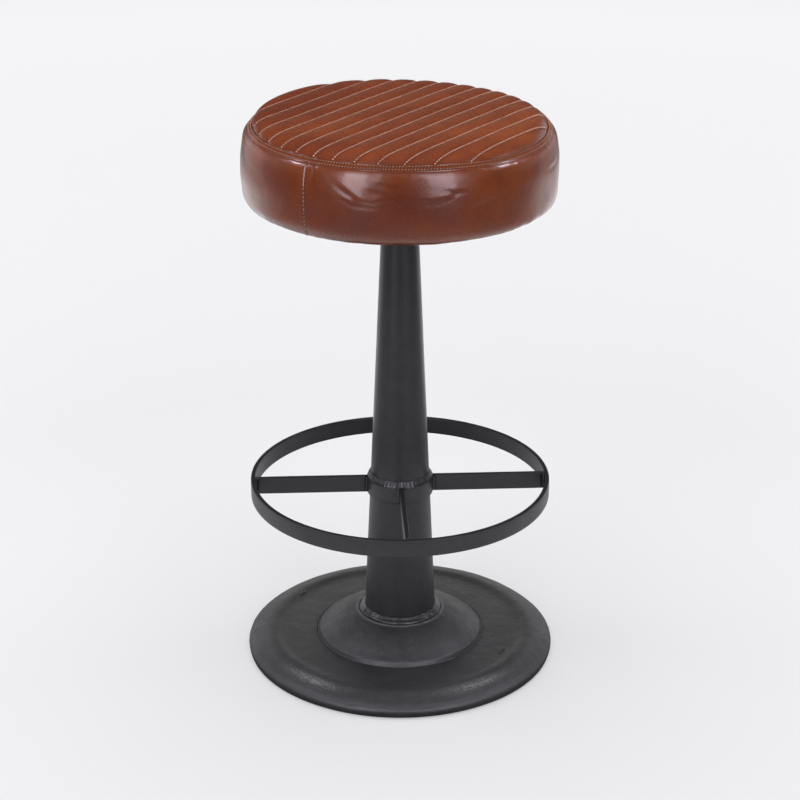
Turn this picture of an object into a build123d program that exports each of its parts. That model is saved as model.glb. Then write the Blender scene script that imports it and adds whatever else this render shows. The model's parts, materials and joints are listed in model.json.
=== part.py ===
from build123d import *
import os
from math import ceil, cos, hypot, radians, sin, sqrt

os.makedirs("parts", exist_ok=True)

# Counter stool: a channelled leather seat that turns on a tapered steel column,
# with a round footrest and a cast base. Millimetres, +Z up, origin on the floor
# under the column's axis, footrest spokes along X and Y.

# Overall sizes
total_height = 651.0
seat_diameter = 345.0
seat_thickness = 94.5
footrest_height = 220.0
footrest_diameter = 345.0
base_diameter = 359.5

# Clearances between pieces
soft_gap = 0.3
seat_clearance = 0.1
press_clearance = 0.02
running_clearance = 0.05
axial_play = 0.3
hole_clearance = 0.5

# Base casting and the rubber sheet glued under it
floor_sheet_thickness = 2.0
floor_sheet_inset = 4.0
rim_edge_height = 5.5
rim_draft = 1.2
rim_width = 31.0
rim_bulge = 1.2
rim_height = 22.0
rim_fall = 1.6
rim_fall_width = 7.0
dome_diameter = 194.0
dome_step = 5.0
dome_step_width = 3.0
dome_height = 48.0
dome_bulge = 4.0
dome_land = 4.0
bolt_recess_diameter = 62.0
bolt_recess_depth = 24.0
cast_mark_length = 13.0
cast_mark_width = 4.5
cast_mark_height = 1.4
cast_mark_radius = 132.0
cast_mark_angles = (146.0, -29.0)

# Column
column_foot_diameter = 83.0
column_top_diameter = 40.0
column_wall = 3.0
column_weld_leg = 4.5
column_weld_height = 7.0
weld_bulge = 0.8

# Bolt that holds the column down on the base
foot_plug_thickness = 16.0
base_bolt_diameter = 16.0
base_bolt_head_width = 24.0
base_bolt_head_height = 10.0
base_washer_diameter = 34.0
base_washer_thickness = 3.0
base_spring_washer_thickness = 4.0
base_spring_washer_diameter = 27.0
spring_washer_slot = 1.5
bolt_head_side_count = 6

# Footrest made of flat bar on edge
bar_height = 20.0
bar_thickness = 5.0
spoke_count = 4
hub_wall = 3.0
footrest_weld_leg = 3.5
hub_weld_height = 6.5

# Swivel bearing
spindle_diameter = 20.0
spindle_head_diameter = 32.0
spindle_head_height = 4.0
spindle_tail = 7.0
race_diameter = 35.0
race_thickness = 3.0
race_bore_room = 0.5
ball_diameter = 4.8
ball_count = 12
ball_groove_depth = 0.8
ball_clearance = 0.06
cage_thickness = 1.2
cage_width = 5.6
cage_pocket_clearance = 0.15
housing_length = 76.0
housing_flange_thickness = 4.0
housing_wall = 2.5
bush_wall = 3.0
bush_length = 24.0
bush_setback = 4.0
spacer_height = 10.0
retaining_washer_thickness = 2.0
retaining_washer_diameter = 30.0
retaining_ring_thickness = 1.5
retaining_ring_width = 3.6
retaining_ring_depth = 0.8
retaining_ring_gap = 9.0

# Seat plate and its bolts
seat_plate_diameter = 140.0
seat_plate_thickness = 5.0
seat_bolt_circle = 104.0
seat_bolt_count = 4
seat_bolt_start = 45.0
seat_bolt_diameter = 8.0
seat_bolt_head_width = 13.0
seat_bolt_head_height = 5.3
seat_bolt_grip = 11.0
seat_washer_diameter = 16.0
seat_washer_thickness = 1.6
tee_nut_flange_diameter = 22.0
tee_nut_flange_thickness = 1.5
tee_nut_barrel_diameter = 10.4
tee_nut_barrel_length = 11.0

# Seat board and the cover under it
board_setback = 20.5
board_thickness = 15.0
board_relief_clearance = 2.0
leather_thickness = 2.0
hem_width = 26.0
dust_cover_thickness = 0.7
dust_cover_overlap = 14.0
staple_count = 28
staple_crown = 10.0
staple_leg = 8.0
staple_wire = 0.9
staple_clearance = 0.1
staple_setback = 7.0

# Seat cushion
corner_radius = 15.0
side_draw = 1.2
bulge_height = 44.0
shoulder_height = 62.0
shoulder_draw = 1.5
band_top_height = 80.6
band_top_draw = 9.1
edge_strip_width = 5.0
edge_strip_height = 2.6
edge_strip_outer_height = 1.3
edge_strip_bulge = 0.9
rib_angle = 53.5
rib_pitch = 24.3
rib_offset = 0.4
rib_height = 3.0
crown_drop = 0.5
edge_drop = 7.3
edge_power = 24
crown_limit = 1.04
crown_flat = 0.8
panel_stations = (0.3, 0.55, 0.75, 0.87, 0.93, 0.97, 1.0, crown_limit)
panel_thickness = 4.0

# Levels worked out from the sizes above
seat_radius = seat_diameter / 2
seat_bottom = total_height - seat_thickness
board_bottom = seat_bottom + leather_thickness + soft_gap
board_top = board_bottom + board_thickness
board_radius = seat_radius - board_setback
plate_bottom = board_bottom - seat_plate_thickness
ball_radius = ball_diameter / 2
race_gap = ball_diameter + 2 * ball_clearance - 2 * ball_groove_depth
bearing_height = 2 * race_thickness + race_gap
flange_top = plate_bottom - bearing_height
column_top = flange_top - housing_flange_thickness
column_foot = dome_height
base_radius = base_diameter / 2
hub_top = footrest_height
hub_bottom = hub_top - bar_height
hoop_inner_radius = footrest_diameter / 2 - bar_thickness


def column_radius(height):
    """Outer radius of the tapered column at a height above the floor."""
    share = (height - column_foot) / (column_top - column_foot)
    return (column_foot_diameter + (column_top_diameter - column_foot_diameter) * share) / 2


def bore_radius(height):
    """Radius of the column's tapered bore at a height above the floor."""
    return column_radius(height) - column_wall


def save(piece, name):
    """Label a finished piece and write it."""
    piece.part.label = name
    export_step(piece.part, f"parts/{name}.step")


def washer(outer_radius, inner_radius, bottom, thickness):
    """A flat ring about the column's axis."""
    with BuildPart() as ring:
        with BuildSketch(Plane.XY.offset(bottom)):
            Circle(outer_radius)
            Circle(inner_radius, mode=Mode.SUBTRACT)
        extrude(amount=thickness)
    return ring


def coned_ring(inner_radius, clearance, bottom, thickness):
    """A ring whose outer face follows the column's bore."""
    top = bottom + thickness
    with BuildPart() as ring:
        with BuildSketch(Plane.XZ):
            Polygon(
                (inner_radius, bottom),
                (bore_radius(bottom) - clearance, bottom),
                (bore_radius(top) - clearance, top),
                (inner_radius, top),
                align=None,
            )
        revolve(axis=Axis.Z)
    return ring


# Base casting: sloping rim, sunken plate, stepped dome
underside = floor_sheet_thickness
rim_crest = (base_radius - rim_width, rim_height)
rim_edge = (base_radius, underside + rim_edge_height)
rim_middle = ((rim_crest[0] + rim_edge[0]) / 2, (rim_crest[1] + rim_edge[1]) / 2)
rim_chord = hypot(rim_edge[0] - rim_crest[0], rim_crest[1] - rim_edge[1])
rim_swell = (
    rim_middle[0] + rim_bulge * (rim_crest[1] - rim_edge[1]) / rim_chord,
    rim_middle[1] + rim_bulge * (rim_edge[0] - rim_crest[0]) / rim_chord,
)
plate_level = rim_height - rim_fall
dome_radius = dome_diameter / 2
dome_foot = plate_level + dome_step
dome_top_radius = column_foot_diameter / 2 + column_weld_leg + dome_land
dome_chord = hypot(dome_radius - dome_top_radius, dome_height - dome_foot)
dome_swell = (
    (dome_radius + dome_top_radius) / 2 + dome_bulge * (dome_height - dome_foot) / dome_chord,
    (dome_height + dome_foot) / 2 + dome_bulge * (dome_radius - dome_top_radius) / dome_chord,
)
base_hole_radius = base_bolt_diameter / 2 + hole_clearance
recess_radius = bolt_recess_diameter / 2
recess_top = underside + bolt_recess_depth

with BuildPart() as base_casting:
    with BuildSketch(Plane.XZ):
        with BuildLine():
            Polyline(
                (base_hole_radius, dome_height),
                (base_hole_radius, recess_top),
                (recess_radius, recess_top),
                (recess_radius, underside),
                (base_radius - rim_draft, underside),
                rim_edge,
            )
            ThreePointArc(rim_edge, rim_swell, rim_crest)
            Polyline(
                rim_crest,
                (rim_crest[0] - rim_fall_width, plate_level),
                (dome_radius + dome_step_width, plate_level),
                (dome_radius, dome_foot),
            )
            ThreePointArc((dome_radius, dome_foot), dome_swell, (dome_top_radius, dome_height))
            Line((dome_top_radius, dome_height), (base_hole_radius, dome_height))
        make_face()
    revolve(axis=Axis.Z)
    for mark_angle in cast_mark_angles:
        mark_plane = Plane.XY.offset(plate_level - cast_mark_height).rotated((0, 0, mark_angle))
        with BuildSketch(mark_plane):
            with Locations((cast_mark_radius, 0)):
                SlotOverall(cast_mark_length, cast_mark_width, rotation=90)
        extrude(amount=2 * cast_mark_height)
save(base_casting, "base_casting")

floor_sheet = washer(base_radius - floor_sheet_inset, recess_radius, 0, floor_sheet_thickness)
save(floor_sheet, "floor_sheet")

# Column: tapered steel tube
with BuildPart() as column:
    with BuildSketch(Plane.XZ):
        Polygon(
            (bore_radius(column_foot), column_foot),
            (column_radius(column_foot), column_foot),
            (column_radius(column_top), column_top),
            (bore_radius(column_top), column_top),
            align=None,
        )
    revolve(axis=Axis.Z)
save(column, "column")

# Weld bead round the column's foot
bead_top = column_foot + column_weld_height
bead_outer = (column_radius(column_foot) + column_weld_leg, column_foot)
bead_upper = (column_radius(bead_top) + seat_clearance, bead_top)
bead_chord = hypot(bead_outer[0] - bead_upper[0], column_weld_height)
bead_swell = (
    (bead_outer[0] + bead_upper[0]) / 2 + weld_bulge * column_weld_height / bead_chord,
    (bead_outer[1] + bead_upper[1]) / 2 + weld_bulge * (bead_outer[0] - bead_upper[0]) / bead_chord,
)
with BuildPart() as column_weld:
    with BuildSketch(Plane.XZ):
        with BuildLine():
            Polyline(
                bead_upper,
                (column_radius(column_foot) + seat_clearance, column_foot),
                bead_outer,
            )
            ThreePointArc(bead_outer, bead_swell, bead_upper)
        make_face()
    revolve(axis=Axis.Z)
save(column_weld, "column_weld")

# Tapped plug in the column's foot, and the bolt that pulls it down
bolt_radius = base_bolt_diameter / 2
foot_plug = coned_ring(
    bolt_radius + running_clearance, seat_clearance, column_foot, foot_plug_thickness
)
save(foot_plug, "column_foot_plug")

washer_bottom = recess_top - base_washer_thickness
spring_bottom = washer_bottom - base_spring_washer_thickness
base_washer = washer(
    base_washer_diameter / 2, base_hole_radius, washer_bottom, base_washer_thickness
)
save(base_washer, "base_washer")

with BuildPart() as base_spring_washer:
    with BuildSketch(Plane.XY.offset(spring_bottom)):
        Circle(base_spring_washer_diameter / 2)
        Circle(base_hole_radius, mode=Mode.SUBTRACT)
        with Locations((base_spring_washer_diameter / 2, 0)):
            Rectangle(base_spring_washer_diameter, spring_washer_slot, mode=Mode.SUBTRACT)
    extrude(amount=base_spring_washer_thickness)
save(base_spring_washer, "base_spring_washer")

with BuildPart() as base_bolt:
    with BuildSketch(Plane.XY.offset(spring_bottom)):
        RegularPolygon(base_bolt_head_width / 2, bolt_head_side_count, major_radius=False)
    extrude(amount=-base_bolt_head_height)
    with BuildSketch(Plane.XY.offset(spring_bottom)):
        Circle(bolt_radius)
    extrude(amount=column_foot + foot_plug_thickness - spring_bottom)
save(base_bolt, "base_bolt")

# Footrest: hub on the column, four spokes, hoop
hub_outer_radius = column_radius(hub_bottom) + seat_clearance + hub_wall
with BuildPart() as footrest_hub:
    with BuildSketch(Plane.XZ):
        Polygon(
            (column_radius(hub_bottom) + seat_clearance, hub_bottom),
            (hub_outer_radius, hub_bottom),
            (hub_outer_radius, hub_top),
            (column_radius(hub_top) + seat_clearance, hub_top),
            align=None,
        )
    revolve(axis=Axis.Z)
save(footrest_hub, "footrest_hub")

footrest_hoop = washer(footrest_diameter / 2, hoop_inner_radius, hub_bottom, bar_height)
save(footrest_hoop, "footrest_hoop")

for spoke_number, side in enumerate(("right", "back", "left", "front")):
    spoke_plane = Plane.XY.offset(hub_bottom).rotated((0, 0, spoke_number * 360 / spoke_count))
    with BuildPart() as footrest_spoke:
        with BuildSketch(spoke_plane):
            with Locations((hoop_inner_radius / 2, 0)):
                Rectangle(hoop_inner_radius, bar_thickness)
            Circle(hoop_inner_radius - seat_clearance, mode=Mode.INTERSECT)
            Circle(hub_outer_radius + seat_clearance, mode=Mode.SUBTRACT)
        extrude(amount=bar_height)
    save(footrest_spoke, f"footrest_spoke_{side}")

# Fillet welds in the corners between spokes, hub and hoop, and a bead on the hub
weld_inner = bar_thickness / 2 + seat_clearance
weld_outer = weld_inner + footrest_weld_leg
hub_corner = sqrt(hub_outer_radius**2 - weld_inner**2) + 2 * seat_clearance
hub_toe = sqrt(hub_outer_radius**2 - weld_outer**2) + 2 * seat_clearance
hoop_corner = sqrt(hoop_inner_radius**2 - weld_inner**2) - 2 * seat_clearance
hoop_toe = sqrt(hoop_inner_radius**2 - weld_outer**2) - 2 * seat_clearance
with BuildPart() as footrest_welds:
    for spoke_number in range(spoke_count):
        weld_plane = Plane.XY.offset(hub_bottom).rotated((0, 0, spoke_number * 360 / spoke_count))
        with BuildSketch(weld_plane):
            for face in (-1, 1):
                Polygon(
                    (hub_corner, face * weld_inner),
                    (hub_corner + footrest_weld_leg, face * weld_inner),
                    (hub_toe, face * weld_outer),
                    align=None,
                )
                Polygon(
                    (hoop_corner, face * weld_inner),
                    (hoop_corner - footrest_weld_leg, face * weld_inner),
                    (hoop_toe, face * weld_outer),
                    align=None,
                )
        extrude(amount=bar_height)
    with BuildSketch(Plane.XZ):
        Polygon(
            (column_radius(hub_top) + seat_clearance, hub_top),
            (hub_outer_radius, hub_top),
            (column_radius(hub_top + hub_weld_height) + seat_clearance, hub_top + hub_weld_height),
            align=None,
        )
    revolve(axis=Axis.Z)
save(footrest_welds, "footrest_welds")

# Bearing housing in the column's top, its spacer and bushes
spindle_radius = spindle_diameter / 2
housing_bore = spindle_radius + bush_wall
housing_radius = housing_bore + housing_wall
housing_bottom = flange_top - housing_length
with BuildPart() as bearing_housing:
    with BuildSketch(Plane.XY.offset(column_top)):
        Circle(column_radius(column_top))
        Circle(housing_bore, mode=Mode.SUBTRACT)
    extrude(amount=housing_flange_thickness)
    with BuildSketch(Plane.XY.offset(housing_bottom)):
        Circle(housing_radius)
        Circle(housing_bore, mode=Mode.SUBTRACT)
    extrude(amount=column_top - housing_bottom)
save(bearing_housing, "bearing_housing")

housing_spacer = coned_ring(
    housing_radius + press_clearance, seat_clearance, housing_bottom, spacer_height
)
save(housing_spacer, "housing_spacer")

bush_outer = housing_bore - press_clearance
bush_inner = spindle_radius + running_clearance
upper_bush = washer(bush_outer, bush_inner, flange_top - bush_setback - bush_length, bush_length)
save(upper_bush, "upper_bush")
lower_bush = washer(bush_outer, bush_inner, housing_bottom, bush_length)
save(lower_bush, "lower_bush")

# Thrust bearing: two grooved races, caged balls
race_radius = race_diameter / 2
race_bore = spindle_radius + race_bore_room
ball_circle = (race_radius + race_bore) / 2
ball_level = flange_top + bearing_height / 2
groove_radius = ball_radius + ball_clearance


def thrust_race(bore, bottom):
    """A race washer with the ball groove on the side that faces the balls."""
    with BuildPart() as race:
        with BuildSketch(Plane.XY.offset(bottom)):
            Circle(race_radius)
            Circle(bore, mode=Mode.SUBTRACT)
        extrude(amount=race_thickness)
        with BuildSketch(Plane.XZ):
            with Locations((ball_circle, ball_level)):
                Circle(groove_radius)
        revolve(axis=Axis.Z, mode=Mode.SUBTRACT)
    return race


lower_race = thrust_race(race_bore, flange_top)
save(lower_race, "lower_race")
upper_race = thrust_race(spindle_radius + seat_clearance, plate_bottom - race_thickness)
save(upper_race, "upper_race")

with BuildPart() as ball_cage:
    with BuildSketch(Plane.XY.offset(ball_level - cage_thickness / 2)):
        Circle(ball_circle + cage_width / 2)
        Circle(ball_circle - cage_width / 2, mode=Mode.SUBTRACT)
        with PolarLocations(ball_circle, ball_count):
            Circle(ball_radius + cage_pocket_clearance, mode=Mode.SUBTRACT)
    extrude(amount=cage_thickness)
save(ball_cage, "ball_cage")

with BuildPart() as bearing_balls:
    with Locations(Plane.XY.offset(ball_level)):
        with PolarLocations(ball_circle, ball_count):
            Sphere(ball_radius)
save(bearing_balls, "bearing_balls")

# Spindle with its head on the seat plate, held up from below by a washer and ring
retaining_washer_top = housing_bottom - axial_play
ring_top = retaining_washer_top - retaining_washer_thickness
ring_bottom = ring_top - retaining_ring_thickness
groove_floor = spindle_radius - retaining_ring_depth
with BuildPart() as swivel_spindle:
    with BuildSketch(Plane.XY.offset(ring_bottom - spindle_tail)):
        Circle(spindle_radius)
    extrude(amount=board_bottom - ring_bottom + spindle_tail)
    with BuildSketch(Plane.XY.offset(board_bottom)):
        Circle(spindle_head_diameter / 2)
    extrude(amount=spindle_head_height)
    with BuildSketch(Plane.XY.offset(ring_bottom)):
        Circle(2 * spindle_radius)
        Circle(groove_floor, mode=Mode.SUBTRACT)
    extrude(amount=retaining_ring_thickness, mode=Mode.SUBTRACT)
save(swivel_spindle, "swivel_spindle")

retaining_washer = washer(
    retaining_washer_diameter / 2,
    spindle_radius + seat_clearance,
    ring_top,
    retaining_washer_thickness,
)
save(retaining_washer, "retaining_washer")

with BuildPart() as retaining_ring:
    with BuildSketch(Plane.XY.offset(ring_bottom)):
        Circle(groove_floor + retaining_ring_width)
        Circle(groove_floor + press_clearance, mode=Mode.SUBTRACT)
        with Locations((spindle_radius, 0)):
            Rectangle(spindle_diameter, retaining_ring_gap, mode=Mode.SUBTRACT)
    extrude(amount=retaining_ring_thickness)
save(retaining_ring, "retaining_ring")

# Seat plate, its bolts and washers, and the tee nuts in the board
seat_bolt_radius = seat_bolt_diameter / 2
seat_bolt_hole = seat_bolt_radius + hole_clearance
bolt_ring = seat_bolt_circle / 2
washer_level = plate_bottom - seat_washer_thickness
with BuildPart() as seat_plate:
    with BuildSketch(Plane.XY.offset(plate_bottom)):
        Circle(seat_plate_diameter / 2)
        Circle(spindle_radius + seat_clearance, mode=Mode.SUBTRACT)
        with PolarLocations(bolt_ring, seat_bolt_count, start_angle=seat_bolt_start):
            Circle(seat_bolt_hole, mode=Mode.SUBTRACT)
    extrude(amount=seat_plate_thickness)
save(seat_plate, "seat_plate")

with BuildPart() as seat_bolt_washers:
    with BuildSketch(Plane.XY.offset(washer_level)):
        with PolarLocations(bolt_ring, seat_bolt_count, start_angle=seat_bolt_start):
            Circle(seat_washer_diameter / 2)
        with PolarLocations(bolt_ring, seat_bolt_count, start_angle=seat_bolt_start):
            Circle(seat_bolt_hole, mode=Mode.SUBTRACT)
    extrude(amount=seat_washer_thickness)
save(seat_bolt_washers, "seat_bolt_washers")

with BuildPart() as seat_bolts:
    with BuildSketch(Plane.XY.offset(washer_level)):
        with PolarLocations(bolt_ring, seat_bolt_count, start_angle=seat_bolt_start):
            RegularPolygon(seat_bolt_head_width / 2, bolt_head_side_count, major_radius=False)
    extrude(amount=-seat_bolt_head_height)
    with BuildSketch(Plane.XY.offset(washer_level)):
        with PolarLocations(bolt_ring, seat_bolt_count, start_angle=seat_bolt_start):
            Circle(seat_bolt_radius)
    extrude(amount=board_bottom - washer_level + seat_bolt_grip)
save(seat_bolts, "seat_bolts")

tee_nut_barrel_radius = tee_nut_barrel_diameter / 2
with BuildPart() as seat_tee_nuts:
    with BuildSketch(Plane.XY.offset(board_top - tee_nut_flange_thickness)):
        with PolarLocations(bolt_ring, seat_bolt_count, start_angle=seat_bolt_start):
            Circle(tee_nut_flange_diameter / 2)
    extrude(amount=tee_nut_flange_thickness)
    with BuildSketch(Plane.XY.offset(board_top)):
        with PolarLocations(bolt_ring, seat_bolt_count, start_angle=seat_bolt_start):
            Circle(tee_nut_barrel_radius)
    extrude(amount=-tee_nut_barrel_length)
    with BuildSketch(Plane.XY.offset(board_top)):
        with PolarLocations(bolt_ring, seat_bolt_count, start_angle=seat_bolt_start):
            Circle(seat_bolt_radius + running_clearance)
    extrude(amount=-tee_nut_barrel_length, mode=Mode.SUBTRACT)
save(seat_tee_nuts, "seat_tee_nuts")


# Staples through the dust cover and the hem into the board
cover_top = seat_bottom - soft_gap
cover_bottom = cover_top - dust_cover_thickness
hem_inner_radius = board_radius - hem_width
staple_ring = hem_inner_radius + staple_setback


def staple_legs(extra):
    """Both legs of every staple, or with extra room the slits that they pass through."""
    leg = staple_wire + 2 * extra
    with PolarLocations(staple_ring, staple_count):
        for end in (-1, 1):
            with Locations((0, end * (staple_crown - staple_wire) / 2)):
                Rectangle(leg, leg)


with BuildPart() as seat_staples:
    with BuildSketch(Plane.XY.offset(cover_bottom)):
        staple_legs(0)
    extrude(amount=staple_leg)
    with BuildSketch(Plane.XY.offset(cover_bottom)):
        with PolarLocations(staple_ring, staple_count):
            Rectangle(staple_wire, staple_crown)
    extrude(amount=-staple_wire)
save(seat_staples, "seat_staples")

# Plywood board: spindle relief, tee nut holes, staple slits
with BuildPart() as seat_board:
    with BuildSketch(Plane.XY.offset(board_bottom)):
        Circle(board_radius)
        Circle(spindle_head_diameter / 2 + board_relief_clearance, mode=Mode.SUBTRACT)
        with PolarLocations(bolt_ring, seat_bolt_count, start_angle=seat_bolt_start):
            Circle(tee_nut_barrel_radius + press_clearance, mode=Mode.SUBTRACT)
    extrude(amount=board_thickness)
    with BuildSketch(Plane.XY.offset(board_top)):
        with PolarLocations(bolt_ring, seat_bolt_count, start_angle=seat_bolt_start):
            Circle(tee_nut_flange_diameter / 2 + seat_clearance)
    extrude(amount=-tee_nut_flange_thickness, mode=Mode.SUBTRACT)
    with BuildSketch(Plane.XY.offset(cover_bottom)):
        staple_legs(staple_clearance)
    extrude(amount=staple_leg + staple_clearance, mode=Mode.SUBTRACT)
save(seat_board, "seat_board")

with BuildPart() as seat_dust_cover:
    with BuildSketch(Plane.XY.offset(cover_bottom)):
        Circle(hem_inner_radius + dust_cover_overlap)
        Circle(seat_plate_diameter / 2 + board_relief_clearance, mode=Mode.SUBTRACT)
    extrude(amount=dust_cover_thickness)
    with BuildSketch(Plane.XY.offset(cover_bottom)):
        staple_legs(staple_clearance)
    extrude(amount=dust_cover_thickness, mode=Mode.SUBTRACT)
save(seat_dust_cover, "seat_dust_cover")

# Side band of the seat: hem under the board, rounded lower corner, swelling side,
# shoulder drawn in to the edge seam
seam_outer_radius = seat_radius - band_top_draw
seam_radius = seam_outer_radius - edge_strip_width - 2 * soft_gap
corner_start = seat_radius - side_draw - corner_radius


def band_side(inset):
    """Lower corner, side and shoulder of the seat, a given depth inside the leather."""
    corner = CenterArc(
        (corner_start, seat_bottom + corner_radius), corner_radius - inset, -90, 90
    )
    side = ThreePointArc(
        corner @ 1,
        (seat_radius - inset, seat_bottom + bulge_height),
        (seat_radius - shoulder_draw - inset, seat_bottom + shoulder_height),
    )
    shoulder = TangentArc(
        side @ 1,
        (seam_outer_radius - inset, seat_bottom + band_top_height - inset / 2),
        tangent=side % 1,
    )
    return corner @ 0, shoulder @ 1


with BuildPart() as seat_side_band:
    with BuildSketch(Plane.XZ):
        with BuildLine():
            outer_foot, outer_top = band_side(0)
            inner_foot, inner_top = band_side(leather_thickness)
            Line(outer_top, inner_top)
            Polyline(
                outer_foot,
                (hem_inner_radius, seat_bottom),
                (hem_inner_radius, seat_bottom + leather_thickness),
                inner_foot,
            )
        make_face()
    revolve(axis=Axis.Z)
    with BuildSketch(Plane.XY.offset(seat_bottom)):
        staple_legs(staple_clearance)
    extrude(amount=leather_thickness, mode=Mode.SUBTRACT)
save(seat_side_band, "seat_side_band")

# Topstitched strip along the edge seam
strip_bottom = seat_bottom + band_top_height + soft_gap
strip_inner = seam_radius + soft_gap
strip_outer = strip_inner + edge_strip_width
strip_crest = strip_bottom + (edge_strip_height + edge_strip_outer_height) / 2 + edge_strip_bulge
with BuildPart() as seat_edge_strip:
    with BuildSketch(Plane.XZ):
        with BuildLine():
            Polyline(
                (strip_inner, strip_bottom + edge_strip_height),
                (strip_inner, strip_bottom),
                (strip_outer, strip_bottom),
                (strip_outer, strip_bottom + edge_strip_outer_height),
            )
            ThreePointArc(
                (strip_outer, strip_bottom + edge_strip_outer_height),
                ((strip_inner + strip_outer) / 2, strip_crest),
                (strip_inner, strip_bottom + edge_strip_height),
            )
        make_face()
    revolve(axis=Axis.Z)
save(seat_edge_strip, "seat_edge_strip")

# Channelled top panel: parallel ribs over a crown that falls to the edge seam
valley_height = total_height - rib_height
panel_under_middle = valley_height - panel_thickness
panel_under_edge = strip_bottom - panel_thickness
rib_run = Vector(cos(radians(rib_angle)), sin(radians(rib_angle)), 0)
rib_across = Vector(sin(radians(rib_angle)), -cos(radians(rib_angle)), 0)
rib_count = 2 * ceil(seam_radius / rib_pitch)
rib_start = rib_offset - rib_count * rib_pitch / 2


def crown(across, along):
    """Height of the stitched valleys at a place on the panel."""
    share = min(hypot(across, along) / seam_radius, crown_limit)
    return valley_height - crown_drop * share**2 - edge_drop * share**edge_power


def panel_section(along):
    """Section across the ribs at a distance along them."""
    first = rib_start
    last = rib_start + rib_count * rib_pitch
    floor = board_top
    Polyline(
        (first, crown(first, along)),
        (first, floor),
        (last, floor),
        (last, crown(last, along)),
    )
    for rib in range(rib_count):
        left = rib_start + rib * rib_pitch
        middle = left + rib_pitch / 2
        right = left + rib_pitch
        ThreePointArc(
            (left, crown(left, along)),
            (middle, crown(middle, along) + rib_height),
            (right, crown(right, along)),
        )


panel_shares = [-share for share in reversed(panel_stations)] + [0.0] + list(panel_stations)
with BuildPart() as seat_top_panel:
    for station in panel_shares:
        reach = station * seam_radius
        with BuildSketch(Plane(origin=rib_run * reach, x_dir=rib_across, z_dir=-rib_run)):
            with BuildLine():
                panel_section(reach)
            make_face()
    loft(ruled=True)
    with BuildSketch(Plane.XY.offset(seat_bottom)):
        Circle(seam_radius)
    extrude(amount=2 * seat_thickness, mode=Mode.INTERSECT)
    with BuildSketch(Plane.XZ):
        with BuildLine():
            Polyline(
                (0, panel_under_middle),
                (0, seat_bottom),
                (seat_radius, seat_bottom),
                (seat_radius, panel_under_edge),
                (seam_radius, panel_under_edge),
            )
            Line((0, panel_under_middle), (crown_flat * seam_radius, panel_under_middle))
            TangentArc(
                (crown_flat * seam_radius, panel_under_middle),
                (seam_radius, panel_under_edge),
                tangent=(1, 0),
            )
        make_face()
    revolve(axis=Axis.Z, mode=Mode.SUBTRACT)
save(seat_top_panel, "seat_top_panel")

# Foam pad: over the board, round its edge, up under the band and the panel
with BuildPart() as seat_foam:
    with BuildSketch(Plane.XZ):
        with BuildLine():
            foam_foot, foam_top = band_side(leather_thickness + soft_gap)
            Polyline(
                foam_foot,
                (board_radius + soft_gap, seat_bottom + leather_thickness + soft_gap),
                (board_radius + soft_gap, board_top + soft_gap),
                (0, board_top + soft_gap),
                (0, panel_under_middle - soft_gap),
                (crown_flat * seam_radius, panel_under_middle - soft_gap),
            )
            TangentArc(
                (crown_flat * seam_radius, panel_under_middle - soft_gap),
                (seam_radius, panel_under_edge - soft_gap),
                tangent=(1, 0),
            )
            Line((seam_radius, panel_under_edge - soft_gap), foam_top)
        make_face()
    revolve(axis=Axis.Z)
save(seat_foam, "seat_foam")
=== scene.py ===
import json
from math import atan2, cos, exp, hypot, pi, radians, sin, sqrt

import bmesh
import bpy
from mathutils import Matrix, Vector, noise


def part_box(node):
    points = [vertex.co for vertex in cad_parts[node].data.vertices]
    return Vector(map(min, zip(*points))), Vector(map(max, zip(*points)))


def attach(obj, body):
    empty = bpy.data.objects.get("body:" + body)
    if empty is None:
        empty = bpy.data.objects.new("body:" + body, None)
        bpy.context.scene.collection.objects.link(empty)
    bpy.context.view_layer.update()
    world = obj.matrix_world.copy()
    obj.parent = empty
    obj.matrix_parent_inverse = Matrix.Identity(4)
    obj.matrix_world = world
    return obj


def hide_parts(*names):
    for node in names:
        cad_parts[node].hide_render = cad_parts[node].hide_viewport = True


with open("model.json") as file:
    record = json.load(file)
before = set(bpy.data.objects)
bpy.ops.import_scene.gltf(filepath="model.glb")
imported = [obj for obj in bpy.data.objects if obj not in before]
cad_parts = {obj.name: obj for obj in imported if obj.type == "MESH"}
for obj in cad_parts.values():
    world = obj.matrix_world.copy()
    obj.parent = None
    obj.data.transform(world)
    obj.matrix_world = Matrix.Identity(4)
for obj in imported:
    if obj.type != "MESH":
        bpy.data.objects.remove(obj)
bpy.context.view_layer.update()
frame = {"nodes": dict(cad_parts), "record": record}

MM = 0.001
scene = bpy.context.scene
nodes = frame["nodes"]

# Seat sizes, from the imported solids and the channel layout
panel_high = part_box("seat_top_panel")[1]
band_low, band_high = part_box("seat_side_band")
strip_low, strip_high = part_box("seat_edge_strip")
SEAM_OUT = 2.4 * MM
SEAM_R = panel_high.x + SEAM_OUT
SEAT_TOP = panel_high.z
SEAT_BOTTOM = band_low.z
SEAT_R = band_high.x
STRIP_OUT = strip_high.x + SEAM_OUT
STRIP_WIDE = 5.0 * MM
STRIP_IN = STRIP_OUT - STRIP_WIDE
STRIP_BOTTOM = strip_low.z
BAND_TOP = band_high.z
BAND_TOP_R = STRIP_OUT + 0.3 * MM
RIB_ANGLE = radians(52.5)
RIB_PITCH = 23.35 * MM
RIB_OFFSET = 0.5 * MM
RIB_HEIGHT = 3.0 * MM
RIB_RUN = Vector((cos(RIB_ANGLE), sin(RIB_ANGLE), 0))
RIB_ACROSS = Vector((sin(RIB_ANGLE), -cos(RIB_ANGLE), 0))

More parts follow.
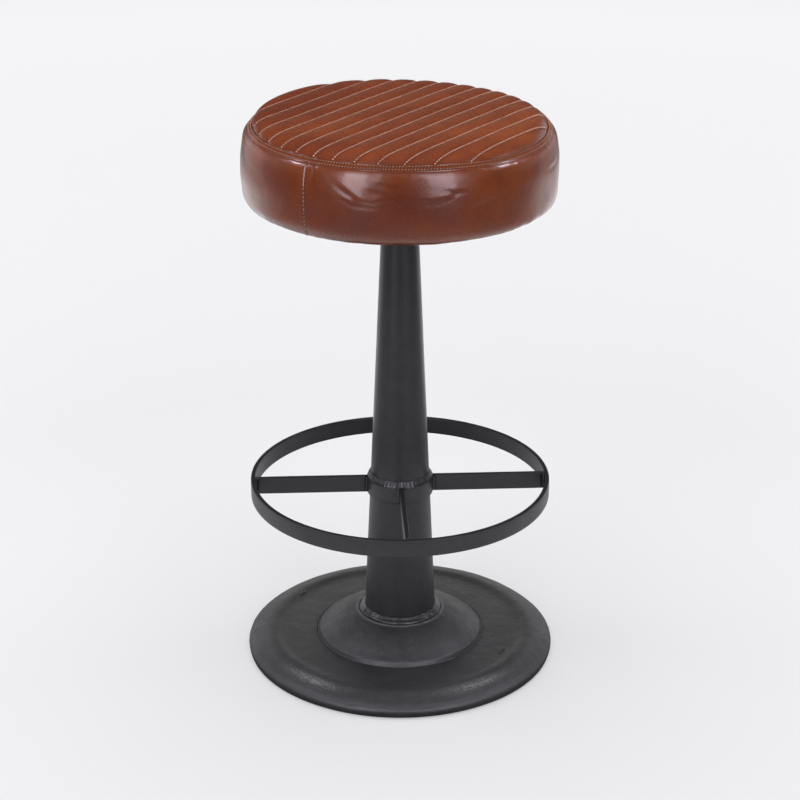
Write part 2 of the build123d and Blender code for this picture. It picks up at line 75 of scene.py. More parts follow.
# Stitches: pitch, width of the thread, lift off the leather
CHANNEL_PITCH, CHANNEL_THREAD, CHANNEL_LIFT = 3.7 * MM, 1.7 * MM, 0.62 * MM
EDGE_PITCH, EDGE_THREAD, EDGE_LIFT = 3.3 * MM, 1.1 * MM, 0.22 * MM
BAND_PITCH, BAND_THREAD, BAND_LIFT = 4.4 * MM, 1.15 * MM, 0.25 * MM
BAND_STITCH = 2.7 * MM

# Directions round the axis, measured from the right
FULL_SIDE = radians(132)
TUCKED_SIDE = radians(-140)
BAND_SEAM = radians(-127.6)
# Directions of the painted highlights on the base's rim crest
HIGHLIGHT_LEFT = radians(-131)
HIGHLIGHT_RIGHT = radians(-60)


# Small formulas


def clamp(value):
    """The value, kept from 0 to 1."""
    return min(1.0, max(0.0, value))


def bell(value, middle, width):
    """1 at the middle, fading to both sides over about the width."""
    return exp(-((value - middle) / width) ** 2)


def facing(turn, middle):
    """1 toward the middle direction, 0 from a quarter turn away."""
    return max(0.0, cos(turn - middle))


def turn_gap(first, second):
    """Signed turn from one direction to another."""
    return (first - second + pi) % (2 * pi) - pi


def outward(turn):
    """Unit vector away from the axis."""
    return Vector((cos(turn), sin(turn), 0))


def sideways(turn):
    """Unit vector round the axis, square to the outward one."""
    return Vector((-sin(turn), cos(turn), 0))


def ring_point(radius, turn, height):
    """A point at a radius and a height in a direction round the axis."""
    return Vector((radius * cos(turn), radius * sin(turn), height))


def offsets(radius, height, pairs):
    """Points from pairs of mm, out from a radius and up from a height."""
    return [(radius + out * MM, height + up * MM) for out, up in pairs]


# Mesh helpers


def add_object(name, data):
    """A new object in the scene."""
    made = bpy.data.objects.new(name, data)
    scene.collection.objects.link(made)
    return made


def add_mesh(name, verts, faces, body, slot, material=None):
    """A smooth-shaded mesh piece in the shared frame, riding on a body."""
    mesh = bpy.data.meshes.new(name)
    mesh.from_pydata(verts, [], faces)
    mesh.update()
    work = bmesh.new()
    work.from_mesh(mesh)
    bmesh.ops.recalc_face_normals(work, faces=work.faces)
    work.to_mesh(mesh)
    work.free()
    mesh.polygons.foreach_set("use_smooth", [True] * len(mesh.polygons))
    mesh.materials.append(material or slot_material[slot])
    piece = add_object(name, mesh)
    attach(piece, body)
    return piece


def add_attribute(piece, name, values):
    """A float per vertex that the materials read."""
    layer = piece.data.attributes.new(name, "FLOAT", "POINT")
    layer.data.foreach_set("value", values)


def bridge(here, there, count):
    """Quads between two closed rings, given by the first vertex of each."""
    quads = []
    for index in range(count):
        after = (index + 1) % count
        quads.append((here + index, here + after, there + after, there + index))
    return quads


def tube(base, rings, sides):
    """Wall and ends of a closed tube of rings that starts at one vertex."""
    faces = []
    for ring in range(rings - 1):
        faces += bridge(base + ring * sides, base + (ring + 1) * sides, sides)
    top = base + (rings - 1) * sides
    faces.append(tuple(base + side for side in reversed(range(sides))))
    faces.append(tuple(top + side for side in range(sides)))
    return faces


def add_leather(name, verts, faces, rub_and_light, soil_and_shade):
    """A leather piece of the seat, with its wear and painted light, and its dirt and painted shade."""
    piece = add_mesh(name, verts, faces, "seat", "brown_leather")
    add_attribute(piece, "rub_and_light", rub_and_light)
    add_attribute(piece, "soil_and_shade", soil_and_shade)
    return piece


def lathe(section, segments, move=None):
    """A closed section of (radius, height) turned about the column's axis."""
    count = len(section)
    verts, faces = [], []
    for step in range(segments):
        turn = 2 * pi * step / segments
        for index, (radius, height) in enumerate(section):
            if move:
                radius, height = move(index, radius, height, turn)
            verts.append(ring_point(radius, turn, height))
    for step in range(segments):
        faces += bridge(step * count, (step + 1) % segments * count, count)
    return verts, faces


CORNER_STEPS = 5
SPACING = 5 * MM
RING_SEGMENTS = 160
HOOP_SEGMENTS = 300


def rounded(points, radii):
    """A closed outline with each corner rounded to its radius."""
    outline = []
    count = len(points)
    for index, (point, radius) in enumerate(zip(points, radii)):
        corner = Vector(point)
        before = (Vector(points[index - 1]) - corner).normalized()
        after = (Vector(points[(index + 1) % count]) - corner).normalized()
        half = before.angle(after) / 2
        reach = radius * cos(half) / sin(half)
        first, last = corner + before * reach, corner + after * reach
        for step in range(CORNER_STEPS + 1):
            share = step / CORNER_STEPS
            bend = first.lerp(corner, share).lerp(corner.lerp(last, share), share)
            outline.append(tuple(bend))
    return outline


def refine(points, spacing, closed=True):
    """The same outline with points no further apart than the spacing."""
    result = []
    count = len(points)
    for index in range(count if closed else count - 1):
        first, last = Vector(points[index]), Vector(points[(index + 1) % count])
        pieces = max(1, int((last - first).length / spacing + 0.999))
        for step in range(pieces):
            result.append(tuple(first.lerp(last, step / pieces)))
    if not closed:
        result.append(tuple(points[-1]))
    return result


def curve_through(points, steps):
    """A smooth line through the points."""
    result = []
    for index in range(len(points) - 1):
        before = Vector(points[max(index - 1, 0)])
        first, last = Vector(points[index]), Vector(points[index + 1])
        after = Vector(points[min(index + 2, len(points) - 1)])
        lead, follow = (last - before) / 2, (after - first) / 2
        for step in range(steps):
            t = step / steps
            result.append(tuple(
                first * (2 * t**3 - 3 * t**2 + 1) + lead * (t**3 - 2 * t**2 + t)
                + last * (3 * t**2 - 2 * t**3) + follow * (t**3 - t**2)
            ))
    result.append(tuple(points[-1]))
    return result


TINY = 1e-9


def read_off(line, known, value):
    """The other coordinate where the known one, 0 or 1, has a value on a line."""
    wanted = 1 - known
    for first, last in zip(line, line[1:]):
        if first[known] <= value <= last[known]:
            share = (value - first[known]) / max(last[known] - first[known], TINY)
            return first[wanted] + share * (last[wanted] - first[wanted])
    raise ValueError("The value lies outside the line")


def soft_noise(point, scale, seed):
    """Smooth noise from -1 to 1 whose lumps are about the scale wide."""
    return noise.noise(Vector(point) / scale + Vector((seed, 2.7 * seed, -1.3 * seed)))


def waves(point, *rows):
    """A sum of smooth noises, each from its depth in mm, its scale and its seed."""
    return sum(deep * MM * soft_noise(point, scale, seed) for deep, scale, seed in rows)


# A thread: rings along its run, sides, sink of its ends and height as shares of its width, least swell
THREAD_RINGS = (0.0, 0.12, 0.35, 0.65, 0.88, 1.0)
THREAD_SIDES = 6
THREAD_SINK = 0.55
THREAD_TALL = 0.42
THREAD_TIP = 0.25


def add_threads(name, stitches, width, material):
    """Short plump threads, each from one point to another, with the surface's normal."""
    verts, faces = [], []
    for start, end, normal in stitches:
        run = end - start
        side = run.cross(normal).normalized()
        lift = side.cross(run).normalized()
        if lift.dot(normal) < 0:
            lift = -lift
        faces += tube(len(verts), len(THREAD_RINGS), THREAD_SIDES)
        for ring in THREAD_RINGS:
            to_end = (2 * ring - 1) ** 4
            swell = max(sqrt(max(0.0, 1 - to_end)), THREAD_TIP)
            centre = start + run * ring - lift * width * THREAD_SINK * to_end
            for corner in range(THREAD_SIDES):
                turn = 2 * pi * corner / THREAD_SIDES
                wide = side * (cos(turn) * width / 2 * swell)
                verts.append(centre + wide + lift * (sin(turn) * width * THREAD_TALL * swell))
    piece = add_mesh(name, verts, faces, "seat", "brown_leather", material)


# Material helpers


class Nodes:
    """The shader nodes of a material or a world, by short calls."""

    def __init__(self, owner, coordinates):
        owner.use_nodes = True
        self.tree = owner.node_tree
        self.place = self.node("ShaderNodeTexCoord").outputs[coordinates]

    def node(self, kind, **settings):
        made = self.tree.nodes.new(kind)
        for key, value in settings.items():
            setattr(made, key, value)
        return made

    def link(self, source, target):
        self.tree.links.new(source, target)

    def put(self, socket, value):
        """Link a socket, or set its colour or plain value."""
        if isinstance(value, bpy.types.NodeSocket):
            self.link(value, socket)
        elif isinstance(value, tuple):
            socket.default_value = (*value, 1)
        else:
            socket.default_value = value

    def result(self, kind, output, inputs, **settings):
        """The output of a new node whose inputs are given by name or number."""
        made = self.node(kind, **settings)
        for key, value in inputs.items():
            self.put(made.inputs[key], value)
        return made.outputs[output]

    def noise(self, scale, detail, rough, place=None):
        inputs = {"Scale": scale, "Detail": detail, "Roughness": rough, "Vector": place or self.place}
        return self.result("ShaderNodeTexNoise", "Fac", inputs)

    def cells(self, scale):
        return self.result("ShaderNodeTexVoronoi", "Distance", {"Scale": scale, "Vector": self.place})

    def stretched(self, scale):
        return self.result("ShaderNodeMapping", "Vector", {"Scale": Vector(scale), "Vector": self.place})

    def attribute(self, name):
        return self.result("ShaderNodeAttribute", "Fac", {}, attribute_name=name)

    def ramp(self, source, stops):
        made = self.node("ShaderNodeValToRGB")
        ramp = made.color_ramp
        while len(ramp.elements) < len(stops):
            ramp.elements.new(0.5)
        for element, (position, colour) in zip(ramp.elements, stops):
            element.position = position
            element.color = (*colour, 1)
        self.link(source, made.inputs["Fac"])
        return made.outputs["Color"]

    def fit(self, source, low, high, new_low, new_high, curve="LINEAR"):
        inputs = {"Value": source, "From Min": low, "From Max": high, "To Min": new_low, "To Max": new_high}
        return self.result("ShaderNodeMapRange", "Result", inputs, interpolation_type=curve)

    def math(self, operation, first, second):
        return self.result("ShaderNodeMath", "Value", {0: first, 1: second}, operation=operation)

    def split(self):
        made = self.node("ShaderNodeSeparateXYZ")
        self.link(self.place, made.inputs["Vector"])
        return made.outputs

    def ray(self, kind):
        return self.result("ShaderNodeLightPath", f"Is {kind} Ray", {})


class Shader(Nodes):
    """One procedural material."""

    def __init__(self, name):
        self.material = bpy.data.materials.new(name)
        super().__init__(self.material, "Object")
        self.surface = self.tree.nodes["Principled BSDF"]

    def mix(self, share, first, second):
        inputs = {"Factor": share, "A": first, "B": second}
        return self.result("ShaderNodeMix", "Result", inputs, data_type="RGBA")

    def bump(self, height, depth, strength, under=None):
        inputs = {"Height": height, "Distance": depth, "Strength": strength}
        if under is not None:
            inputs["Normal"] = under
        return self.result("ShaderNodeBump", "Normal", inputs)

    def two_tone(self, source, dark, light):
        return self.ramp(source, [(0.3, dark), (0.7, light)])

    def finish_fine(self, colour, fine, rough, depth, strength, **values):
        """A finish whose roughness and relief both come from one fine pattern."""
        relief = self.bump(fine, depth, strength)
        return self.finish(Base_Color=colour, Roughness=self.fit(fine, *rough), Normal=relief, **values)

    def finish(self, **values):
        for key, value in values.items():
            self.put(self.surface.inputs[key.replace("_", " ")], value)
        return self.material


def leather_material():
    s = Shader("waxed_brown_leather")
    drift = s.noise(9, 4, 0.6)
    patches = s.noise(34, 3, 0.55)
    colour = s.ramp(drift, [
        (0.30, (0.122, 0.0200, 0.0050)),
        (0.50, (0.165, 0.0295, 0.0065)),
        (0.72, (0.220, 0.0460, 0.0090)),
    ])
    colour = s.mix(s.fit(patches, 0.35, 0.75, 0.0, 0.40), colour, (0.094, 0.0140, 0.0040))
    # Wear and painted light: lighter where the leather stands high and is rubbed, and across the top toward
    # the right and the front.
    rub_and_light = s.math("MULTIPLY", s.attribute("rub_and_light"), s.fit(patches, 0.25, 0.7, 0.55, 0.15))
    colour = s.mix(rub_and_light, colour, (0.270, 0.0640, 0.0120))
    # Painted shade, with some dirt: near-black in the valleys, grooves, creases and under the turned edges.
    colour = s.mix(s.attribute("soil_and_shade"), colour, (0.034, 0.0075, 0.0030))
    grain = s.cells(820)
    crease = s.noise(260, 4, 0.6)
    rough = s.math("ADD", s.fit(patches, 0.3, 0.75, 0.20, 0.30), s.fit(grain, 0.0, 0.9, -0.02, 0.04))
    normal = s.bump(s.noise(60, 3, 0.55), 0.0011, 0.12)
    normal = s.bump(crease, 0.0005, 0.10, normal)
    normal = s.bump(grain, 0.0004, 0.34, normal)
    return s.finish(Base_Color=colour, Roughness=rough, Normal=normal, Specular_IOR_Level=0.44,
                    Coat_Weight=0.42, Coat_Roughness=0.12)


def thread_material(name, dark, light):
    s = Shader(name)
    twist = s.noise(1500, 2, 0.5)
    colour = s.two_tone(s.noise(300, 2, 0.5), dark, light)
    return s.finish_fine(colour, twist, (0.3, 0.7, 0.45, 0.62), 0.0002, 0.4)


def coat_material():
    s = Shader("satin_black_coat")
    broad = s.noise(14, 3, 0.55)
    peel = s.noise(620, 2, 0.5)
    colour = s.two_tone(s.noise(90, 4, 0.6), (0.0140, 0.0136, 0.0158), (0.0210, 0.0204, 0.0236))
    rough = s.math("ADD", s.fit(broad, 0.3, 0.7, 0.37, 0.47), s.fit(peel, 0.3, 0.7, -0.03, 0.03))
    normal = s.bump(s.noise(70, 3, 0.5), 0.0006, 0.10)
    normal = s.bump(peel, 0.0002, 0.14, normal)
    return s.finish(Base_Color=colour, Roughness=rough, Normal=normal, Specular_IOR_Level=0.45)


def cast_material():
    s = Shader("black_painted_casting")
    broad = s.noise(17, 4, 0.6)
    sand = s.noise(420, 5, 0.65)
    lumps = s.noise(85, 5, 0.62)
    colour = s.ramp(broad, [(0.30, (0.0165, 0.0158, 0.0170)), (0.72, (0.0280, 0.0270, 0.0286))])
    colour = s.mix(s.fit(lumps, 0.58, 0.80, 0.0, 0.6), colour, (0.036, 0.0345, 0.036))
    # Painted highlight: light grey patches on the rim's crest toward the front left and front right, over
    # faint wear all round, broken up by the sand.
    worn_and_highlight = s.math("MULTIPLY", s.attribute("wear_and_highlight"), s.fit(sand, 0.40, 0.62, 0.10, 1.0))
    colour = s.mix(worn_and_highlight, colour, (0.210, 0.207, 0.218))
    pits = s.fit(s.cells(140), 0.02, 0.16, 0.0, 1.0)
    pit_area = s.fit(s.noise(38, 2, 0.5), 0.55, 0.66, 0.0, 1.0)
    pit = s.math("MAXIMUM", pits, s.math("SUBTRACT", 1.0, pit_area))
    rough = s.math("ADD", s.fit(lumps, 0.3, 0.75, 0.40, 0.54), s.fit(sand, 0.3, 0.7, -0.06, 0.07))
    normal = s.bump(lumps, 0.0016, 0.42)
    normal = s.bump(sand, 0.0006, 0.60, normal)
    normal = s.bump(pit, 0.0007, 0.5, normal)
    return s.finish(Base_Color=colour, Roughness=rough, Normal=normal, IOR=1.7, Specular_IOR_Level=0.50)


def weld_material():
    s = Shader("painted_weld_bead")
    ripple = s.noise(330, 3, 0.55)
    colour = s.two_tone(s.noise(120, 3, 0.6), (0.0120, 0.0120, 0.0130), (0.0220, 0.0220, 0.0235))
    return s.finish_fine(colour, ripple, (0.3, 0.7, 0.27, 0.40), 0.0006, 0.16)


def foam_material():
    s = Shader("cut_foam")
    pores = s.cells(900)
    colour = s.two_tone(s.noise(40, 4, 0.6), (0.60, 0.52, 0.36), (0.74, 0.68, 0.52))
    return s.finish_fine(colour, pores, (0.0, 0.8, 0.85, 1.0), 0.0006, 0.6)


def cloth_material():
    s = Shader("spun_dust_cover")
    fibres = s.noise(700, 5, 0.7, s.stretched((1.0, 3.0, 1.0)))
    dots = s.cells(480)
    colour = s.two_tone(fibres, (0.010, 0.010, 0.011), (0.028, 0.028, 0.030))
    normal = s.bump(fibres, 0.0003, 0.5, s.bump(dots, 0.0003, 0.4))
    return s.finish(Base_Color=colour, Roughness=s.fit(fibres, 0.3, 0.7, 0.75, 0.95), Normal=normal)


def plywood_material():
    s = Shader("raw_plywood")
    grain = s.noise(24, 6, 0.62, s.stretched((1.0, 11.0, 1.0)))
    pores = s.noise(420, 3, 0.6, s.stretched((0.12, 1.0, 1.0)))
    colour = s.ramp(grain, [
        (0.3, (0.36, 0.235, 0.125)),
        (0.55, (0.50, 0.355, 0.210)),
        (0.75, (0.60, 0.45, 0.29)),
    ])
    return s.finish_fine(colour, pores, (0.3, 0.7, 0.55, 0.75), 0.0003, 0.35)


def rubber_material():
    s = Shader("black_rubber")
    sheet = s.noise(55, 4, 0.6)
    dust = s.noise(900, 3, 0.6)
    colour = s.two_tone(sheet, (0.008, 0.008, 0.008), (0.020, 0.020, 0.020))
    return s.finish_fine(colour, dust, (0.3, 0.7, 0.62, 0.82), 0.0003, 0.3)


def metal_material(name, dark, light, low, high, brushed):
    s = Shader(name)
    lines = s.noise(600, 4, 0.6, s.stretched(brushed))
    stain = s.noise(60, 4, 0.6)
    colour = s.two_tone(stain, dark, light)
    return s.finish_fine(colour, lines, (0.3, 0.7, low, high), 0.0002, 0.16, Metallic=1.0)


# Metals: name, dark and light colour, least and most roughness, stretch of the tool lines
EVEN = (1.0, 1.0, 1.0)
ROUND = (1.0, 1.0, 12.0)
METALS = {
    "zinc_steel": ("bright_zinc", (0.42, 0.43, 0.45), (0.60, 0.61, 0.63), 0.26, 0.42, EVEN),
    "plain_steel": ("turned_steel", (0.33, 0.33, 0.34), (0.46, 0.46, 0.47), 0.25, 0.40, ROUND),
    "bearing_steel": ("ground_steel", (0.52, 0.52, 0.53), (0.66, 0.66, 0.67), 0.12, 0.22, ROUND),
    "bronze": ("oiled_bronze", (0.42, 0.25, 0.09), (0.58, 0.37, 0.15), 0.28, 0.42, ROUND),
}
THREAD = thread_material("waxed_thread", (0.52, 0.27, 0.185), (0.70, 0.43, 0.32))
BROWN_THREAD = thread_material("brown_thread", (0.35, 0.160, 0.095), (0.51, 0.265, 0.175))
WELD = weld_material()
slot_material = {
    "cast_black": cast_material(),
    "coated_black": coat_material(),
    "brown_leather": leather_material(),
    "foam": foam_material(),
    "plywood": plywood_material(),
    "cover_cloth": cloth_material(),
    "rubber_black": rubber_material(),
}
for slot_name, metal in METALS.items():
    slot_material[slot_name] = metal_material(*metal)
for row in frame["record"]["subparts"]:
    carried = nodes[row["node"]]
    carried.data.materials.clear()
    carried.data.materials.append(slot_material[row["material_slot"]])


# Seat top: channelled panel over a flat crown that rolls down to the edge seam

FRONT = radians(-90)
PULLED_CORNER = radians(-32)
LOW_BACK = radians(58)
EDGE_ROLL = 6.5 * MM
CROWN_SINK = 0.8 * MM
CROWN_FALL = 0.5 * MM
PAST_SEAM = 1.02
PANEL_HALF_ROWS = 105
PANEL_UNDERSIDE = SEAT_TOP - 12 * MM
# Places across one rib, as shares of the pitch, closer together in the valley
RIB_STEPS = (0.0, 0.022, 0.05, 0.09, 0.15, 0.23, 0.33, 0.44, 0.56, 0.67, 0.77, 0.85, 0.91, 0.95, 0.978)
# Rings that turn the panel's edge under: mm inward, mm down, how much painted shade
PANEL_HEM = ((-0.05, 0.9, 0.2), (0.35, 2.2, 0.5), (1.8, 4.0, 1.0), (6.0, 6.0, 1.0))


def seam_drop(turn):
    """How far the edge seam sits lower on the side that was pulled down harder."""
    return 0.2 * MM * facing(turn, FRONT) + 3.6 * MM * facing(turn, PULLED_CORNER) ** 4


def edge_share(radius, turn):
    """How far the panel has rolled down to its seam, over a wider roll in front."""
    front = clamp(0.35 - sin(turn))
    power = 40 - 24 * front * front * (3 - 2 * front)
    return min(radius / SEAM_R, PAST_SEAM) ** power


def valley_height(radius, turn):
    """Height of the leather along a stitched valley."""
    share = min(radius / SEAM_R, PAST_SEAM)
    roll = EDGE_ROLL + seam_drop(turn)
    back = (0.9 * max(0.0, sin(turn)) + 1.1 * facing(turn, LOW_BACK) ** 2) * MM * share**6
    crown = SEAT_TOP - RIB_HEIGHT - CROWN_SINK - CROWN_FALL * share**2
    return crown - back - roll * edge_share(radius, turn)


def rib_share(across):
    """Place across a rib, from 0 in one valley to 1 in the next."""
    return ((across - RIB_OFFSET) / RIB_PITCH) % 1.0


def panel_point(across, along):
    """A point on the leather of the top panel, and how high it lies on its rib."""
    radius = hypot(across, along)
    share = radius / SEAM_R
    flat = RIB_RUN * along + RIB_ACROSS * across
    turn = atan2(flat.y, flat.x)
    pillow = max(0.0, 1 - abs(2 * rib_share(across) - 1) ** 2.7) ** 0.80
    wander = waves(flat, (0.35, 0.045, 3.1)) + pillow * waves(flat, (0.22, 0.016, 7.7))
    full = facing(turn, FULL_SIDE) ** 2 * share**6
    flatten = (0.42 + 0.13 * max(0.0, -sin(turn))) * share**14
    height = valley_height(radius, turn) + RIB_HEIGHT * (1 - flatten) * pillow + wander * (1 - share**20)
    height += full * (3.2 * MM + 1.2 * MM * pillow)
    return Vector((flat.x, flat.y, height)), pillow


def panel_columns():
    """Distances across the ribs at which the panel has a row of points."""
    limit = SEAM_R * 0.9985
    columns = [RIB_OFFSET + (rib + step) * RIB_PITCH for rib in range(-8, 8) for step in RIB_STEPS]
    return [-limit] + [c for c in columns if abs(c) < limit - 0.3 * MM] + [limit]


def build_top_panel():
    columns = panel_columns()
    rows = [row / PANEL_HALF_ROWS for row in range(-PANEL_HALF_ROWS, PANEL_HALF_ROWS + 1)]
    ways = [0.55 * x + 0.45 * sin(pi * x / 2) for x in rows]
    count = len(ways)
    verts, rub_and_light, soil_and_shade, faces = [], [], [], []

    def add(point, rubbed_and_lit, dark):
        verts.append(point)
        rub_and_light.append(rubbed_and_lit)
        soil_and_shade.append(dark)
        return len(verts) - 1

    for across in columns:
        reach = sqrt(SEAM_R**2 - across**2)
        valley = bell(rib_share(across), 0.0, 0.20)
        for way in ways:
            point, pillow = panel_point(across, way * reach)
            edge = (hypot(across, way * reach) / SEAM_R) ** 40
            # Rubbed lighter on the rib tops, with painted light toward the right and the front; painted shade
            # in the valleys and where the edge rolls down.
            bright = pillow - 0.40 + 0.75 * point.x / SEAM_R - 0.30 * point.y / SEAM_R
            dark = 0.36 * (1 - pillow) ** 3 + 0.42 * valley * (1 - edge) + 0.15 * edge
            add(point, max(0.0, bright) * (1 - edge), min(1.0, dark))
    for column in range(len(columns) - 1):
        for row in range(count - 1):
            here = column * count + row
            faces.append((here, here + count, here + count + 1, here + 1))
    last = (len(columns) - 1) * count
    rim = list(range(count))
    rim += [column * count + count - 1 for column in range(1, len(columns))]
    rim += [last + row for row in range(count - 2, -1, -1)]
    rim += [column * count for column in range(len(columns) - 2, 0, -1)]
    previous = rim
    for inward, down, dark in PANEL_HEM:
        ring = []
        for index in rim:
            point = verts[index]
            scale = (SEAM_R - inward * MM) / hypot(point.x, point.y)
            ring.append(add(Vector((point.x * scale, point.y * scale, point.z - down * MM)), 0.0, dark))
        for index in range(len(rim)):
            after = (index + 1) % len(rim)
            faces.append((previous[index], previous[after], ring[after], ring[index]))
        previous = ring
    # The underside's middle point gets full painted shade.
    centre = add(Vector((0, 0, PANEL_UNDERSIDE)), 0.0, 1.0)
    for index in range(len(rim)):
        faces.append((previous[index], previous[(index + 1) % len(rim)], centre))
    piece = add_leather("seat_top_leather", verts, faces, rub_and_light, soil_and_shade)
    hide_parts("seat_top_panel")


def build_channel_stitches():
    up = Vector((0, 0, 1))
    lift = Vector((0, 0, CHANNEL_LIFT))
    stitches = []
    for rib in range(-6, 7):
        across = RIB_OFFSET + rib * RIB_PITCH
        reach = sqrt(SEAM_R**2 - across**2) - 1.2 * MM
        count = int(2 * reach / CHANNEL_PITCH)
        for number in range(count):
            start = -reach + (number + 0.20) * 2 * reach / count
            end = start + 0.60 * 2 * reach / count
            first, _ = panel_point(across, start)
            second, _ = panel_point(across, end)
            stitches.append((first + lift, second + lift, up))
    add_threads("seat_channel_stitches", stitches, CHANNEL_THREAD, THREAD)


# Edge strip between the panel and the band, sewn along both sides

STRIP_LINE = curve_through(offsets(STRIP_IN, STRIP_BOTTOM, (
    (-0.2, 2.6), (0.5, 3.5), (1.5, 3.3), (3.0, 2.1), (4.5, 0.7), (5.6, -0.6), (5.9, -1.5),
)), 4)
STRIP_ROWS = (1.5 * MM, 4.4 * MM)
STRIP_SEGMENTS = 480


def strip_wave(turn):
    """How far the strip's leather rises or dips along the seam."""
    around = outward(turn) * SEAM_R
    return waves(around, (0.28, 0.022, 1.9), (0.12, 0.006, 4.3))


def build_edge_strip():
    section = STRIP_LINE + offsets(STRIP_IN, STRIP_BOTTOM, ((4.8, -1.9), (0.0, 0.0)))
    top = len(STRIP_LINE)

    def move(index, radius, height, turn):
        return radius, height - seam_drop(turn) + (strip_wave(turn) if index < top else 0.0)

    verts, faces = lathe(section, STRIP_SEGMENTS, move)
    # Painted shade along the two stitch grooves, at the strip's edges and on its underside; the strip is
    # rubbed evenly.
    soil_and_shade = []
    for radius, _ in STRIP_LINE:
        rows = [bell(radius - STRIP_IN, inset, 0.75 * MM) for inset in STRIP_ROWS]
        soil_and_shade.append(0.75 * max(rows))
    soil_and_shade[:2] = 0.7, 0.4
    soil_and_shade[-2:] = 0.4, 0.7
    soil_and_shade += [1.0, 1.0]
    rub_and_light = [0.35] * len(section)
    piece = add_leather(
        "seat_edge_strip_leather", verts, faces, rub_and_light * STRIP_SEGMENTS, soil_and_shade * STRIP_SEGMENTS
    )
    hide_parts("seat_edge_strip")


def build_strip_stitches():
    stitches = []
    for row, inset in enumerate(STRIP_ROWS):
        radius = STRIP_IN + inset
        count = int(2 * pi * radius / EDGE_PITCH)
        for number in range(count):
            ends = []
            for share in (0.22, 0.78):
                turn = 2 * pi * (number + share + row / 2) / count
                height = read_off(STRIP_LINE, 0, radius) + strip_wave(turn) - seam_drop(turn) + EDGE_LIFT
                ends.append(ring_point(radius, turn, height))
            out = Vector((ends[0].x, ends[0].y, 0)).normalized() * 0.85
            stitches.append((ends[0], ends[1], Vector((out.x, out.y, 1)).normalized()))
    add_threads("seat_edge_stitches", stitches, EDGE_THREAD, BROWN_THREAD)


# Side band: hem, rounded lower corner, swelling side, shoulder drawn in to the seam

BAND_LINE = curve_through(offsets(SEAT_R, SEAT_BOTTOM, (
    (-46.5, 0), (-30, -0.1), (-13, -0.5), (-7.4, 0.2), (-3.2, 2.8), (-0.7, 7.4), (0.3, 15),
    (0.8, 28), (1, 42), (0.7, 55), (-0.8, 66), (-2.6, 73.8), (-4.9, 78.3),
)) + [(BAND_TOP_R, BAND_TOP - 0.3 * MM)], 7)
BAND_SEGMENTS = 540
LEATHER_THICK = 2.0 * MM
# Points beside the band's upright seam, in mm to one side of it
SEAM_STEPS = (0.2, 0.6, 1.1, 1.8, 2.6, 3.5, 4.5)

# Soft creases in the band: turn in degrees; height, half length, depth and width in mm; tilt and bow
CREASES = [
    (-108.5, 607, 24, 0.55, 3.2, -0.5, 0.004),
    (-98, 613.5, 20, 0.45, 2.6, -0.15, 0.002),
    (-104, 600, 27, 0.5, 3, 0.1, 0.01),
    (-97.5, 622, 14, 0.35, 2.4, -0.22, 0),
    (-80, 604, 22, 0.42, 3.2, 0.16, 0.008),
    (-73, 613, 15, 0.35, 2.4, -0.1, 0.003),
    (-62, 598, 18, 0.3, 3, 0.22, 0),
    (-124.5, 626, 13, 0.45, 1.5, 5, 0),
    (-20, 610, 24, 0.4, 3.2, 0.12, 0.006),
    (35, 615, 22, 0.4, 3, -0.2, 0.004),
    (88, 606, 26, 0.45, 3.2, 0.15, 0.008),
    (118, 617, 18, 0.35, 2.6, -0.25, 0),
    (165, 604, 24, 0.4, 3.2, 0.18, 0.006),
    (-160, 612, 20, 0.35, 2.8, -0.12, 0.003),
]


def band_rise(height):
    """Height up the band, from 0 at its foot to 1 at its seam."""
    return (height - SEAT_BOTTOM) / (BAND_TOP - SEAT_BOTTOM)


def crease_depth(turn, height, at):
    """How far the creases push the leather in, or out beside them."""
    depth = 0.0
    for middle, level, half, deep, wide, tilt, bow in CREASES:
        across = turn_gap(turn, radians(middle)) * SEAT_R / MM
        upward = height / MM - level
        length = hypot(1.0, tilt)
        run = (across + tilt * upward) / length
        off = (upward - tilt * across) / length - bow * run**2 + 1.5 * soft_noise(at, 0.012, middle)
        if abs(run) < 2 * half and abs(off) < 5 * wide:
            fold = 0.7 * bell(off, 1.6 * wide, 1.5 * wide) - bell(off, 0.0, wide)
            depth += MM * deep * exp(-(run / half) ** 4) * fold
    return depth


def band_wrinkle(turn, height):
    """How far the leather of the band stands in or out of its line."""
    around = outward(turn) * SEAT_R
    at = around + Vector((0, 0, height))
    rise = band_rise(height)
    depth = waves(at, (0.55, 0.060, 2.2), (0.20, 0.020, 5.4))
    depth -= 1.6 * MM * facing(turn, TUCKED_SIDE) ** 8 * bell(rise, 0.06, 0.07)
    depth += 1.2 * MM * max(0.0, -cos(turn)) ** 2 * bell(rise, 0.45, 0.22)
    depth += 1.0 * MM * clamp(0.45 + sin(turn)) * bell(rise, 0.90, 0.08)
    depth += crease_depth(turn, height, at)
    gather = max(0.0, (rise - 0.80) / 0.20) ** 2
    depth += gather * waves(around, (0.32, 0.0075, 9.1))
    depth += bell(rise, 0.03, 0.06) * waves(around, (0.45, 0.010, 6.6))
    gap = turn_gap(turn, BAND_SEAM) * SEAT_R / MM
    if abs(gap) < 12:
        depth -= 0.55 * MM * bell(gap, -0.4, 1.3)
        depth += 0.30 * MM * (bell(gap, -3.4, 2.6) + 0.5 * bell(gap, 3.0, 2.2))
    return depth


def band_drop(turn, rise):
    """The band's upper part follows the seam down."""
    return seam_drop(turn) * clamp((rise - 0.55) / 0.45) ** 1.5


def band_turns():
    """Directions round the band, closer together at its upright seam."""
    turns = [2 * pi * step / BAND_SEGMENTS for step in range(BAND_SEGMENTS)]
    turns = [t for t in turns if abs(turn_gap(t, BAND_SEAM)) * SEAT_R > 5.2 * MM]
    close = [BAND_SEAM + side * step * MM / SEAT_R for side in (-1, 1) for step in SEAM_STEPS]
    return sorted(t % (2 * pi) for t in turns + close)


